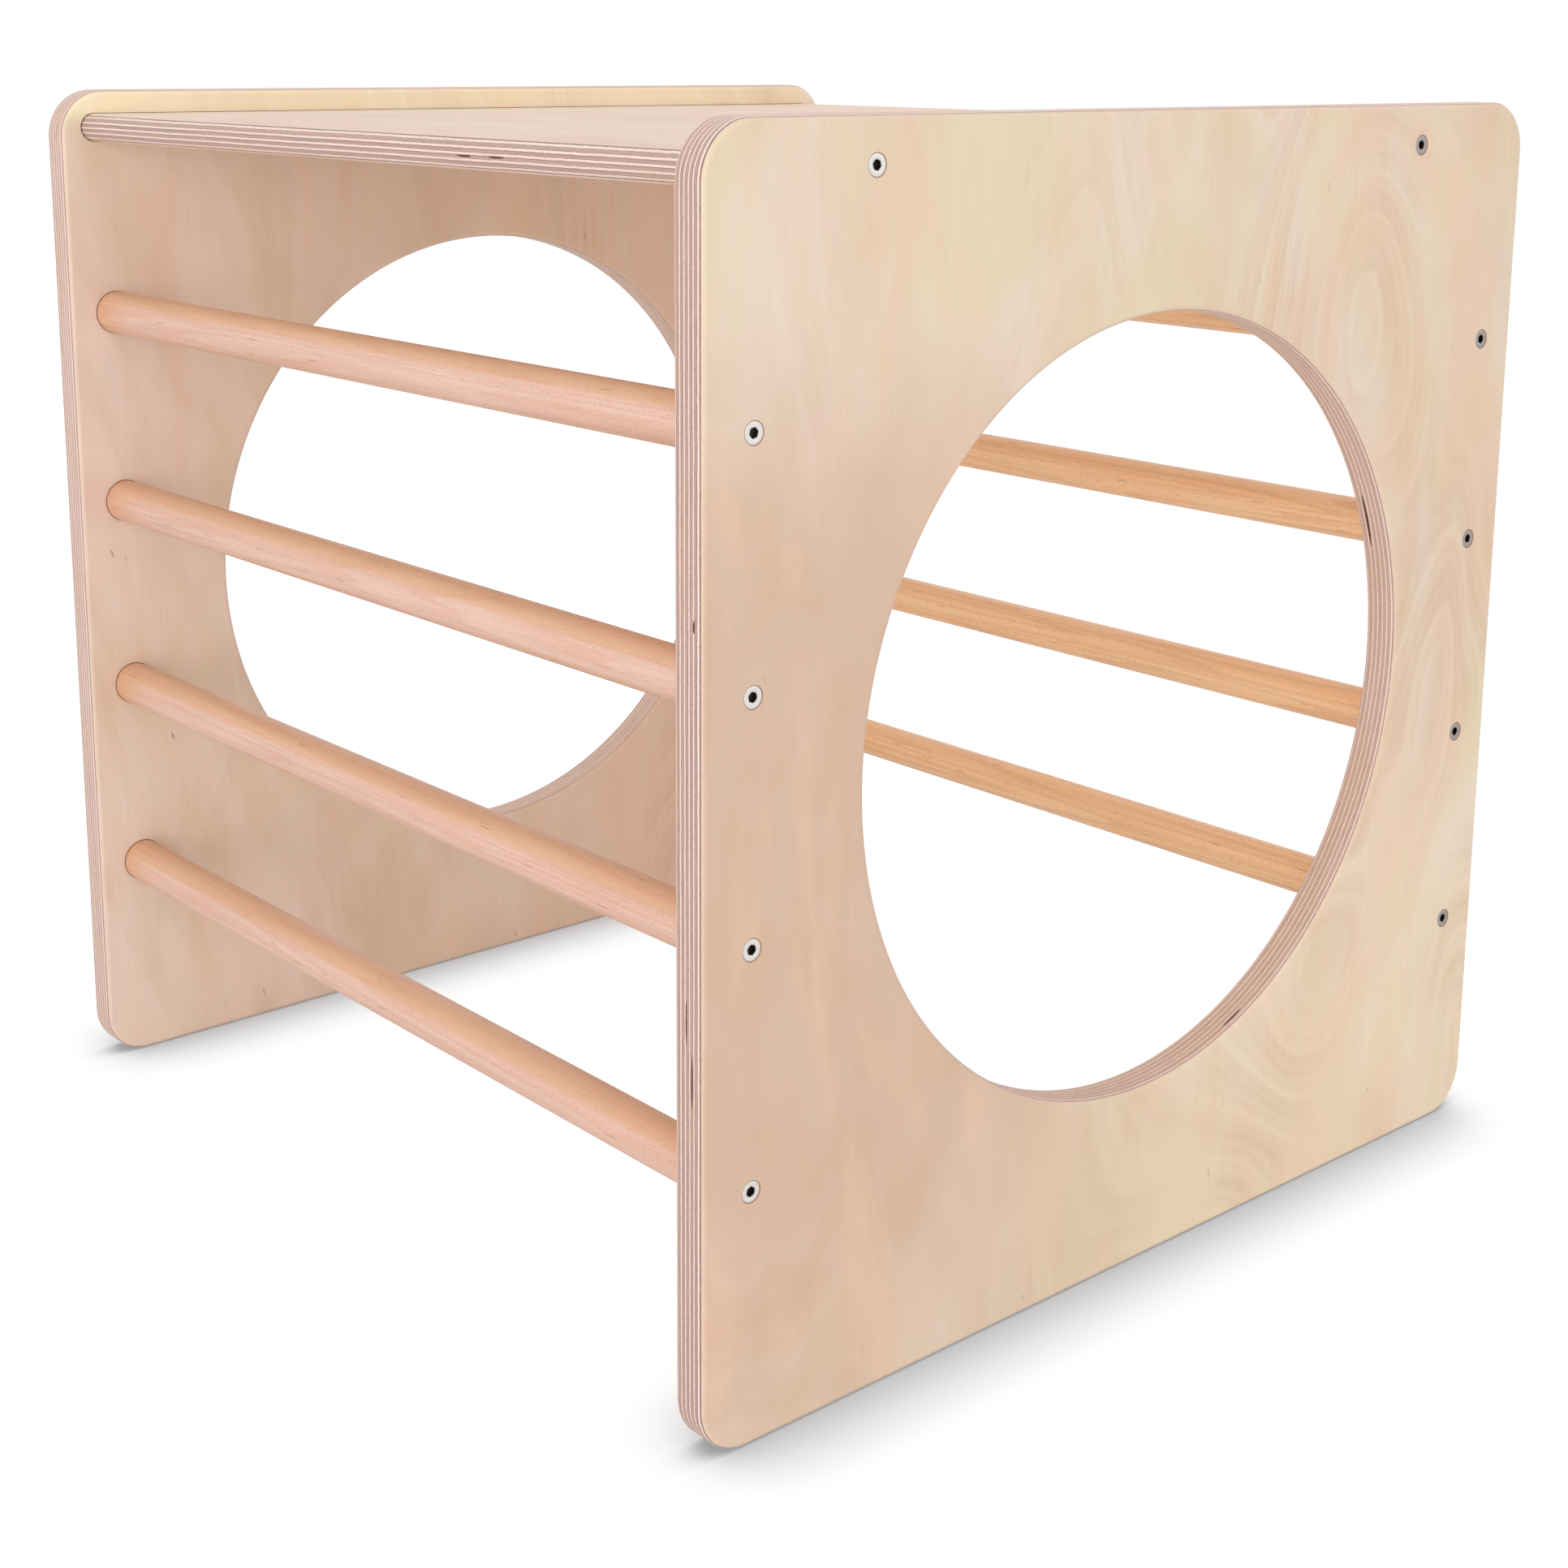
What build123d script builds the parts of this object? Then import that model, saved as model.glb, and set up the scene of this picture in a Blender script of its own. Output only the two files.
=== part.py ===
"""Wooden climbing cube: two plywood side panels, a plywood top board and eight turned rungs.

Millimetres. X runs along the rungs, Y from the front ladder to the back one, Z is up.
The origin is on the floor, under the middle of the cube.
Every rung and the top board are housed in the inner faces of the panels and pulled tight
by countersunk connector screws from outside.
"""

import os
from math import radians, tan

from build123d import *

os.makedirs("parts", exist_ok=True)

# Side panels
inner_width = 527.0
panel_depth = 550.0
panel_height = 555.0
panel_thickness = 18.0
panel_corner_radius = 25.0
panel_edge_round = 3.0
crawl_hole_diameter = 374.0

# Housings cut in the inner faces of the panels
housing_depth = 9.0
socket_clearance = 0.25
slot_clearance = 0.25
slot_end_clearance = 0.7

# Top board
board_thickness = 15.0
board_edge_inset = 12.0
board_centre_below_panel_top = 20.0
board_screw_edge_distance = 78.0

# Rungs
rungs_in_a_ladder = 4
rung_diameter = 23.0
rung_pitch = 106.0
lowest_rung_height = 116.0
rung_edge_distance = 26.5
rung_end_chamfer = 1.0

# Connector screws
screw_length = 50.0
screw_head_diameter = 9.5
screw_head_angle = 90.0
screw_head_land = 0.2
screw_head_recess = 0.15
screw_neck_diameter = 7.0
screw_thread_diameter = 6.2
screw_tip_length = 3.0
screw_hex_across_flats = 4.0
screw_hex_depth = 2.6
neck_clearance = 0.1
neck_end_clearance = 0.5
thread_clearance = 0.05
pilot_run_out = 2.0

# Sizes and places that follow from those above
crawl_hole_height = panel_height / 2
board_depth = panel_depth - 2 * board_edge_inset
board_centre_height = panel_height - board_centre_below_panel_top
board_screw_spacing = board_depth - 2 * board_screw_edge_distance
ladder_spacing = panel_depth - 2 * rung_edge_distance
panel_web = panel_thickness - housing_depth
rung_length = inner_width + 2 * housing_depth
rung_heights = [lowest_rung_height + rung_pitch * step for step in range(rungs_in_a_ladder)]
pilot_depth = screw_length + screw_head_recess - panel_web + pilot_run_out
head_cone_slope = tan(radians(screw_head_angle / 2))
countersink_radius = screw_head_diameter / 2 + (screw_head_recess + screw_head_land) * head_cone_slope


def housed_end_plane(side, y, z):
    """The plane of a rung's or the board's end at y, z, facing out through the panel of that side."""
    return Plane(origin=(side * rung_length / 2, y, z), x_dir=(0, side, 0), z_dir=(side, 0, 0))


def panel_face_plane(side, distance):
    """A plane parallel to the panels, its local x along the depth and its local y straight up."""
    return Plane(origin=(side * distance, 0, 0), x_dir=(0, side, 0), z_dir=(side, 0, 0))


def screw_points():
    """Depth and height of each screw on a panel, with the name of the piece that it holds."""
    points = []
    for row, y in (("front", -1), ("back", 1)):
        for number, z in enumerate(rung_heights, start=1):
            points.append((f"{row}_rung_{number}", y * ladder_spacing / 2, z))
        points.append((f"board_{row}", y * board_screw_spacing / 2, board_centre_height))
    return points


def build_side_panel(name, side):
    """A rounded plywood panel with its crawl hole, rung sockets, board slot and screw holes."""
    inner_face = panel_face_plane(side, inner_width / 2)
    outer_face = panel_face_plane(side, inner_width / 2 + panel_thickness)

    with BuildPart() as panel:
        with BuildSketch(inner_face):
            with Locations((0, panel_height / 2)):
                RectangleRounded(panel_depth, panel_height, panel_corner_radius)
            with Locations((0, crawl_hole_height)):
                Circle(crawl_hole_diameter / 2, mode=Mode.SUBTRACT)
        extrude(amount=panel_thickness)

        # The router goes round every edge, the crawl hole's too, on both faces
        fillet(panel.faces().filter_by(Axis.X).edges(), panel_edge_round)

        # Blind sockets for the rungs
        with BuildSketch(inner_face):
            with Locations((0, lowest_rung_height + rung_pitch * (rungs_in_a_ladder - 1) / 2)):
                with GridLocations(ladder_spacing, rung_pitch, 2, rungs_in_a_ladder):
                    Circle(rung_diameter / 2 + socket_clearance)
        extrude(amount=housing_depth, mode=Mode.SUBTRACT)

        # Stopped slot with round ends for the top board
        with BuildSketch(inner_face):
            with Locations((0, board_centre_height)):
                SlotOverall(
                    board_depth + 2 * slot_end_clearance,
                    board_thickness + 2 * slot_clearance,
                )
        extrude(amount=housing_depth, mode=Mode.SUBTRACT)

        # Countersunk holes for the connector screws
        with Locations(outer_face):
            with Locations(*[(y, z) for _, y, z in screw_points()]):
                CounterSinkHole(
                    radius=screw_neck_diameter / 2 + neck_clearance,
                    counter_sink_radius=countersink_radius,
                    depth=panel_thickness,
                    counter_sink_angle=screw_head_angle,
                )

    panel.part.label = name
    export_step(panel.part, f"parts/{name}.step")


def build_top_board(name):
    """The platform: a plywood board with full round front and back edges, drilled in both ends."""
    with BuildPart() as board:
        with BuildSketch(Plane.YZ):
            with Locations((0, board_centre_height)):
                SlotOverall(board_depth, board_thickness)
        extrude(amount=rung_length / 2, both=True)

        for side in (-1, 1):
            with Locations(housed_end_plane(side, 0, board_centre_height)):
                with GridLocations(board_screw_spacing, 0, 2, 1):
                    Hole(screw_thread_diameter / 2 + thread_clearance, depth=pilot_depth)

    board.part.label = name
    export_step(board.part, f"parts/{name}.step")


def build_rung(name, y, z):
    """A turned rung along X, its ends chamfered and drilled for the screws."""
    with BuildPart() as rung:
        with BuildSketch(Plane.YZ):
            with Locations((y, z)):
                Circle(rung_diameter / 2)
        extrude(amount=rung_length / 2, both=True)
        chamfer(rung.edges().filter_by(GeomType.CIRCLE), rung_end_chamfer)

        for side in (-1, 1):
            with Locations(housed_end_plane(side, y, z)):
                Hole(screw_thread_diameter / 2 + thread_clearance, depth=pilot_depth)

    rung.part.label = name
    export_step(rung.part, f"parts/{name}.step")


def build_screw(name, side, y, z):
    """A connector screw: countersunk head with a hex socket, plain neck, threaded shank and tip."""
    head_x = side * (inner_width / 2 + panel_thickness - screw_head_recess)
    axial_plane = Plane(origin=(head_x, y, z), x_dir=(0, 0, 1), z_dir=(0, side, 0))
    head_plane = Plane(origin=(head_x, y, z), x_dir=(0, side, 0), z_dir=(side, 0, 0))

    head_radius = screw_head_diameter / 2
    neck_radius = screw_neck_diameter / 2
    thread_radius = screw_thread_diameter / 2
    cone_end = screw_head_land + (head_radius - neck_radius) / head_cone_slope
    neck_end = panel_web - screw_head_recess - neck_end_clearance
    thread_end = screw_length - screw_tip_length

    with BuildPart() as screw:
        # Half outline, with depth below the head's flat measured down the plane's y
        with BuildSketch(axial_plane):
            with BuildLine():
                Polyline(
                    (0, 0),
                    (head_radius, 0),
                    (head_radius, -screw_head_land),
                    (neck_radius, -cone_end),
                    (neck_radius, -neck_end),
                    (thread_radius, -neck_end),
                    (thread_radius, -thread_end),
                    (0, -screw_length),
                    close=True,
                )
            make_face()
        revolve(axis=Axis((head_x, y, z), (side, 0, 0)))

        with BuildSketch(head_plane):
            RegularPolygon(screw_hex_across_flats / 2, 6, major_radius=False)
        extrude(amount=-screw_hex_depth, mode=Mode.SUBTRACT)

    screw.part.label = name
    export_step(screw.part, f"parts/{name}.step")


for side_name, side in (("left", -1), ("right", 1)):
    build_side_panel(f"{side_name}_side_panel", side)
    for held, y, z in screw_points():
        build_screw(f"{side_name}_screw_{held}", side, y, z)

build_top_board("top_board")

for row, y in (("front", -ladder_spacing / 2), ("back", ladder_spacing / 2)):
    for number, z in enumerate(rung_heights, start=1):
        build_rung(f"{row}_rung_{number}", y, z)
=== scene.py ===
"""The climbing cube as it looks: lacquered birch plywood, beech rungs and zinc screws.

Metres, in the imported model's frame: X runs along the rungs, Y from the front ladder to the
back one, Z is up. The panels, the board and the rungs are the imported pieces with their
finishes. The screws are made again here, with eased rims, hex sockets and threads.
"""

from math import cos, pi, radians, sin

import bmesh
import bpy
from mathutils import Matrix, Vector
from mathutils.geometry import delaunay_2d_cdt


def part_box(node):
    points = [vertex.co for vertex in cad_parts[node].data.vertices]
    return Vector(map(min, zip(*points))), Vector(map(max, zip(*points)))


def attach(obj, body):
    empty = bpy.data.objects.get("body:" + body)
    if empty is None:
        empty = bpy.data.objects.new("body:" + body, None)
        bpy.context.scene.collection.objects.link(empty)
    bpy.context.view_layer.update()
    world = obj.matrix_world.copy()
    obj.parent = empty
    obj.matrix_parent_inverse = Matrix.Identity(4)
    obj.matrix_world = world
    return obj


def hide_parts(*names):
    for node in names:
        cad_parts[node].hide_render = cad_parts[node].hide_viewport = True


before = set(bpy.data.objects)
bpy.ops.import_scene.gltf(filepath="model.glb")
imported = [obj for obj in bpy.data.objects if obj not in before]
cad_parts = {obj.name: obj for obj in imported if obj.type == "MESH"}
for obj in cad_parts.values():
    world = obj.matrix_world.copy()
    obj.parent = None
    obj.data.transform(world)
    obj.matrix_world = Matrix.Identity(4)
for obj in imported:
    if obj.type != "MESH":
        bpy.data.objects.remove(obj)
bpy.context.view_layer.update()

# Sizes read from the frame
panel_low, panel_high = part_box("right_side_panel")
board_low, board_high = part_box("top_board")
INNER_FACE = panel_low.x
OUTER_FACE = panel_high.x
PANEL_THICKNESS = OUTER_FACE - INNER_FACE
PANEL_HALF_DEPTH = panel_high.y
PANEL_HEIGHT = panel_high.z
BOARD_UNDERSIDE = board_low.z
BOARD_THICKNESS = board_high.z - board_low.z
HOUSING_FLOOR = board_high.x
screw_low, screw_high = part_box("right_screw_board_front")
SCREW_HEAD_RADIUS = (screw_high.y - screw_low.y) / 2
SCREW_HEAD_RECESS = OUTER_FACE - screw_high.x

# Side panels
CORNER_RADIUS = 0.025
EDGE_ROUND = 0.003
CRAWL_HOLE_RADIUS = 0.187
SOCKET_CLEARANCE = 0.00025
SLOT_CLEARANCE = 0.00025
SLOT_END_CLEARANCE = 0.0007
NECK_HOLE_RADIUS = 0.0036

# How finely the panels are divided
EDGE_ROUND_STEPS = 8
CORNER_STEPS = 20
SIDE_STEPS = 28
CRAWL_HOLE_STEPS = 288
DRILLED_HOLE_STEPS = 48
SLOT_END_STEPS = 20
FACE_GRID = 0.022

# Connector screws
SCREW_HEAD_EASE = 0.00025
SCREW_HEAD_LAND = 0.0002
SCREW_NECK_RADIUS = 0.0035
SCREW_NECK_LENGTH = 0.00835
SCREW_ROOT_RADIUS = 0.0028
SCREW_CREST_RADIUS = 0.0034
SCREW_THREAD_PITCH = 0.0025
SCREW_TIP_LENGTH = 0.003
SCREW_LENGTH = 0.05
SCREW_HEX_RADIUS = 0.0023
SCREW_HEX_DEPTH = 0.0026
SCREW_STEPS = 48
SCREW_TURN_SEED = 7
COUNTERSINK_RADIUS = SCREW_HEAD_RADIUS + SCREW_HEAD_RECESS + SCREW_HEAD_LAND

# Plywood build-up
PANEL_PLIES = 13
BOARD_PLIES = 11

# Camera
CAMERA_PLACE = (0.98225, -0.84670, 0.58077)
CAMERA_YAW = -48.782
CAMERA_PITCH = -11.799
CAMERA_ROLL = 0.397
CAMERA_LENS = 55.247
CAMERA_SENSOR = 36.0
CAMERA_SHIFT = -0.15

# Light
SKY_STRENGTH = 0.9
SKY_TINT = (1.0, 0.985, 0.98, 1.0)
OVERHEAD_POWER = 2.0
FRONT_POWER = 30.0
FLOOR_WIDTH = 12.0


def colour(red, green, blue):
    """A display colour, 0 to 255 a channel, as the linear colour that shaders take."""
    channels = []
    for value in (red / 255, green / 255, blue / 255):
        channels.append(value / 12.92 if value <= 0.04045 else ((value + 0.055) / 1.055) ** 2.4)
    return (*channels, 1.0)


# Birch veneer
VENEER_PALE = colour(234, 218, 199)
VENEER_YELLOW = colour(231, 215, 184)
VENEER_PEACH = colour(236, 202, 175)
VENEER_TAN = colour(218, 188, 163)
VENEER_ROSE = colour(241, 214, 203)
# Painted light, for veneer whose Pink is below 0
VENEER_PAINTED_LIGHT = colour(255, 240, 206)
VENEER_RING = colour(206, 166, 134)
VENEER_SHADE = colour(208, 176, 150)
VENEER_FLECK = colour(134, 92, 66)
VENEER_EYE = (0.145, 0.455, 0.0)
VENEER_EYE_REACH = (0.1, 0.2, 1.0)

# Cut plywood edges
PLY_LIGHT = colour(240, 219, 209)
PLY_LIGHT_WARM = colour(232, 202, 186)
PLY_DARK_END = colour(180, 150, 144)
PLY_DARK_SIDE = colour(222, 190, 167)
PLY_DARK_WARM = colour(203, 167, 145)
PLY_STREAK = colour(158, 126, 120)
PLY_GLUE = colour(104, 72, 64)
PLY_GAP = colour(92, 54, 36)
FACE_PLY_EDGE = colour(230, 202, 186)
# Painted shade for drilled and routed walls, and for the rung joints
PAINTED_RECESS_SHADE = colour(136, 84, 56)
PANEL_RAGGED = 0.3
BOARD_RAGGED = 0.4
PANEL_LIGHT_SHARE = 0.17
BOARD_LIGHT_SHARE = 0.19

# Gaps in inner plies: where, half their thickness and half their length
PANEL_GAPS = [
    ((0.2695, 0.1738, 0.3453), 0.0008, 0.0165),
    ((0.2776, 0.0716, 0.1049), 0.0006, 0.0078),
    ((0.2718, -0.2750, 0.1949), 0.0005, 0.0105),
    ((0.2754, -0.2750, 0.1700), 0.0006, 0.0125),
    ((0.2769, -0.2750, 0.3600), 0.0006, 0.0030),
]
BOARD_GAPS = [
    ((0.1060, -0.2630, 0.5338), 0.0060, 0.0006),
    ((0.1300, -0.2630, 0.5340), 0.0060, 0.0006),
]

# Beech
# The back ladder's beech, brighter and more orange than the front's: painted warm bounce light
BEECH_LIGHT = colour(255, 216, 174)
BEECH_DARK = colour(252, 204, 154)
BEECH_ROSY_LIGHT = colour(229, 193, 177)
BEECH_ROSY_DARK = colour(217, 176, 158)
BEECH_TAN = colour(222, 171, 128)
BEECH_LATE = colour(208, 156, 120)
BEECH_RAY = colour(158, 98, 68)
# Width of the painted shadow where a rung goes into its socket
JOINT_SHADOW_WIDTH = 0.0012

# Zinc
ZINC_BRIGHT = colour(248, 246, 242)
ZINC_DULL = colour(236, 234, 230)
ZINC_GREY = colour(178, 170, 168)
SOCKET_PAINTED_SHADE = colour(96, 88, 82)

# The floor, and what the camera sees of its shadow
FLOOR_DULL = colour(238, 238, 238)
FLOOR_PALE = colour(243, 243, 243)
FLOOR_SHADED = (0.12, 0.12, 0.12, 1.0)
FLOOR_GLOW = 0.94
CONTACT_REACH = 0.07
CONTACT_DARKNESS = 0.65


class Nodes:
    """A node tree, with short ways to add nodes and join them."""

    def __init__(self, tree):
        self.tree = tree

    def add(self, kind, inputs=None, **settings):
        """A new node. Each input is a value, or a socket to join, by its name or number."""
        node = self.tree.nodes.new(kind)
        for name, value in settings.items():
            setattr(node, name, value)
        for key, value in (inputs or {}).items():
            if isinstance(value, bpy.types.NodeSocket):
                self.tree.links.new(value, node.inputs[key])
            else:
                node.inputs[key].default_value = value
        return node

    def maths(self, operation, *values, clamp=False):
        inputs = dict(enumerate(values))
        return self.add("ShaderNodeMath", inputs, operation=operation, use_clamp=clamp).outputs[0]

    def vector(self, operation, *values):
        inputs = dict(enumerate(values))
        return self.add("ShaderNodeVectorMath", inputs, operation=operation).outputs[0]

    def split(self, vector):
        return self.add("ShaderNodeSeparateXYZ", {0: vector}).outputs

    def join(self, x, y, z):
        return self.add("ShaderNodeCombineXYZ", {0: x, 1: y, 2: z}).outputs[0]

    def step(self, value, start, end, low=0.0, high=1.0):
        """A smooth step from low, at start, to high, at end."""
        inputs = {0: value, 1: start, 2: end, 3: low, 4: high}
        return self.add("ShaderNodeMapRange", inputs, interpolation_type="SMOOTHSTEP").outputs[0]

    def noise(self, place, stretch, detail=2.0, roughness=0.5, distortion=0.0):
        """Noise from 0 to 1 whose frequency along each axis is given by stretch."""
        scaled = self.vector("MULTIPLY", place, stretch)
        inputs = {"Vector": scaled, "Scale": 1.0, "Detail": detail, "Roughness": roughness,
                  "Distortion": distortion}
        return self.add("ShaderNodeTexNoise", inputs).outputs[0]

    def cells(self, place, stretch, randomness=1.0):
        """Distance to the nearest scattered point, and a random colour for that point."""
        scaled = self.vector("MULTIPLY", place, stretch)
        inputs = {"Vector": scaled, "Scale": 1.0, "Randomness": randomness}
        cell = self.add("ShaderNodeTexVoronoi", inputs)
        return cell.outputs["Distance"], cell.outputs["Color"]

    def mix(self, amount, first, second, blend="MIX"):
        inputs = {0: amount, 6: first, 7: second}
        return self.add("ShaderNodeMix", inputs, data_type="RGBA", blend_type=blend).outputs[2]

def circle_points(y, z, radius, count):
    """Points round a circle, as pairs of depth and height."""
    points = []
    for step in range(count):
        angle = 2 * pi * step / count
        points.append((y + radius * cos(angle), z + radius * sin(angle)))
    return points


def rounded_points(half_width, low, high, radius, inset, corner_steps, side_steps):
    """Points round a rectangle with round corners, drawn in by an inset on every side."""
    reach = half_width - radius
    corners = []
    for y, z, start in ((reach, high - radius, 0), (-reach, high - radius, 90),
                        (-reach, low + radius, 180), (reach, low + radius, 270)):
        arc = []
        for step in range(corner_steps + 1):
            angle = radians(start + 90 * step / corner_steps)
            arc.append((y + (radius - inset) * cos(angle), z + (radius - inset) * sin(angle)))
        corners.append(arc)
    points = []
    for arc, next_arc in zip(corners, corners[1:] + corners[:1]):
        points += arc
        (y0, z0), (y1, z1) = arc[-1], next_arc[0]
        for step in range(1, side_steps):
            part = step / side_steps
            points.append((y0 + (y1 - y0) * part, z0 + (z1 - z0) * part))
    return points


def lies_inside(points, y, z):
    """Whether a place is inside a closed outline, from the sides that it has to its right."""
    crossings = 0
    for (y0, z0), (y1, z1) in zip(points, points[1:] + points[:1]):
        if (z0 > z) != (z1 > z) and y < y0 + (z - z0) * (y1 - y0) / (z1 - z0):
            crossings += 1
    return crossings % 2 == 1


class PanelShell:
    """A closed mesh, put together from outlines that stand at distances from the middle plane."""

    def __init__(self, side):
        self.side = side
        self.mesh = bmesh.new()
        self.drilled = self.mesh.loops.layers.float.new("drilled")

    def outline(self, distance, points):
        return [self.mesh.verts.new((self.side * distance, y, z)) for y, z in points]

    def wall(self, outlines, drilled=0.0):
        """Joins each outline to the next with a band of quads."""
        for near, far in zip(outlines, outlines[1:]):
            for k in range(len(near)):
                n = (k + 1) % len(near)
                face = self.mesh.faces.new((near[k], near[n], far[n], far[k]))
                for corner in face.loops:
                    corner[self.drilled] = drilled

    def drill(self, y, z, profile):
        """A turned hole: the wall through circles of the profile's distances and radii."""
        rings = []
        for distance, radius in profile:
            rings.append(self.outline(distance, circle_points(y, z, radius, DRILLED_HOLE_STEPS)))
        self.wall(rings, drilled=1.0)
        return rings[0], rings[-1]

    def flat(self, outer, holes, drilled=0.0):
        """Fills the plane between an outer outline and the holes in it with even triangles."""
        distance = outer[0].co.x
        corners = list(outer)
        edges = []
        owner = [-1] * len(outer)
        for number, hole in enumerate(holes):
            owner += [number] * len(hole)
            corners += hole
        start = 0
        for outline in [outer, *holes]:
            edges += [(start + k, start + (k + 1) % len(outline)) for k in range(len(outline))]
            start += len(outline)

        hole_points = [[(corner.co.y, corner.co.z) for corner in hole] for hole in holes]
        outer_points = [(corner.co.y, corner.co.z) for corner in outer]
        taken = [Vector((corner.co.y, corner.co.z)) for corner in corners]
        columns = int(2 * PANEL_HALF_DEPTH / FACE_GRID)
        rows = int(PANEL_HEIGHT / FACE_GRID)
        for column in range(1, columns):
            for row in range(1, rows):
                y = -PANEL_HALF_DEPTH + 2 * PANEL_HALF_DEPTH * column / columns
                z = PANEL_HEIGHT * row / rows
                if not lies_inside(outer_points, y, z) or any(lies_inside(hole, y, z) for hole in hole_points):
                    continue
                place = Vector((y, z))
                if min((place - other).length_squared for other in taken) > (FACE_GRID * 0.35) ** 2:
                    corners.append(self.mesh.verts.new((distance, y, z)))
                    owner.append(-2)

        flat_points = [Vector((corner.co.y, corner.co.z)) for corner in corners]
        triangles, sources = delaunay_2d_cdt(flat_points, edges, [], 1, 1e-7)[2:4]
        for triangle in triangles:
            picked = [sources[index][0] for index in triangle]
            owners = {owner[index] for index in picked}
            if len(owners) == 1 and owners.pop() >= 0:
                continue
            face = self.mesh.faces.new([corners[index] for index in picked])
            for corner in face.loops:
                corner[self.drilled] = drilled

    def finish(self, name):
        bmesh.ops.recalc_face_normals(self.mesh, faces=self.mesh.faces)
        mesh = bpy.data.meshes.new(name)
        self.mesh.to_mesh(mesh)
        self.mesh.free()
        return mesh


def apply_modifiers(piece):
    """Puts what a piece's modifiers make into its mesh, and takes the modifiers away."""
    seen = piece.evaluated_get(bpy.context.evaluated_depsgraph_get())
    mesh = bpy.data.meshes.new_from_object(seen)
    piece.modifiers.clear()
    piece.data = mesh


def add_piece(name, mesh):
    piece = bpy.data.objects.new(name, mesh)
    bpy.context.scene.collection.objects.link(piece)
    return piece


def rounded_edge_profile():
    """Distance and inset of each outline of a panel's edge, from the inner face to the outer one."""
    profile = []
    for step in range(EDGE_ROUND_STEPS + 1):
        angle = pi / 2 * step / EDGE_ROUND_STEPS
        profile.append((INNER_FACE + EDGE_ROUND * (1 - cos(angle)), EDGE_ROUND * (1 - sin(angle))))
    return profile + [(INNER_FACE + OUTER_FACE - distance, inset) for distance, inset in reversed(profile)]


def make_side_panel(name, side, rungs, board_screws):
    """A panel with round corners and edges, its crawl hole, rung sockets, board slot and countersinks."""
    shell = PanelShell(side)
    profile = rounded_edge_profile()
    rims = []
    for distance, inset in profile:
        points = rounded_points(PANEL_HALF_DEPTH, 0, PANEL_HEIGHT, CORNER_RADIUS, inset, CORNER_STEPS, SIDE_STEPS)
        rims.append(shell.outline(distance, points))
    shell.wall(rims)
    hole_rims = []
    for distance, inset in profile:
        points = circle_points(0, PANEL_HEIGHT / 2, CRAWL_HOLE_RADIUS + inset, CRAWL_HOLE_STEPS)
        hole_rims.append(shell.outline(distance, points))
    shell.wall(hole_rims)

    throat = OUTER_FACE - (COUNTERSINK_RADIUS - NECK_HOLE_RADIUS)
    screw_hole = [(HOUSING_FLOOR, NECK_HOLE_RADIUS), (throat, NECK_HOLE_RADIUS), (OUTER_FACE, COUNTERSINK_RADIUS)]
    sockets, countersinks = [], []
    for y, z, radius in rungs:
        socket_radius = radius + SOCKET_CLEARANCE
        socket = [(INNER_FACE, socket_radius), (HOUSING_FLOOR, socket_radius)]
        inner, outer = shell.drill(y, z, socket + screw_hole)
        sockets.append(inner)
        countersinks.append(outer)

    slot = []
    for distance in (INNER_FACE, HOUSING_FLOOR):
        low = board_low.z - SLOT_CLEARANCE
        high = board_high.z + SLOT_CLEARANCE
        half_width = board_high.y + SLOT_END_CLEARANCE
        points = rounded_points(half_width, low, high, (high - low) / 2 - 1e-6, 0, SLOT_END_STEPS, SIDE_STEPS)
        slot.append(shell.outline(distance, points))
    shell.wall(slot, drilled=1.0)
    slot_holes = []
    for y, z in board_screws:
        inner, outer = shell.drill(y, z, screw_hole)
        slot_holes.append(inner)
        countersinks.append(outer)
    shell.flat(slot[1], slot_holes, drilled=1.0)
    shell.flat(rims[0], [hole_rims[0], slot[0], *sockets])
    shell.flat(rims[-1], [hole_rims[-1], *countersinks])

    piece = add_piece(name, shell.finish(name))
    piece.data.shade_smooth()
    piece.data.set_sharp_from_angle(angle=radians(35))
    even = piece.modifiers.new("even_normals", "WEIGHTED_NORMAL")
    even.keep_sharp = True
    apply_modifiers(piece)
    return piece


def make_side_panels():
    rungs, board_screws = [], []
    for row in ("front", "back"):
        for number in range(1, 5):
            low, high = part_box(f"{row}_rung_{number}")
            rungs.append(((low.y + high.y) / 2, (low.z + high.z) / 2, (high.z - low.z) / 2))
        low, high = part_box(f"right_screw_board_{row}")
        board_screws.append(((low.y + high.y) / 2, (low.z + high.z) / 2))
    panels = []
    for name, side in (("left", -1), ("right", 1)):
        panel = make_side_panel(f"{name}_panel", side, rungs, board_screws)
        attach(panel, "root")
        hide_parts(f"{name}_side_panel")
        panels.append(panel)
    return panels


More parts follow.
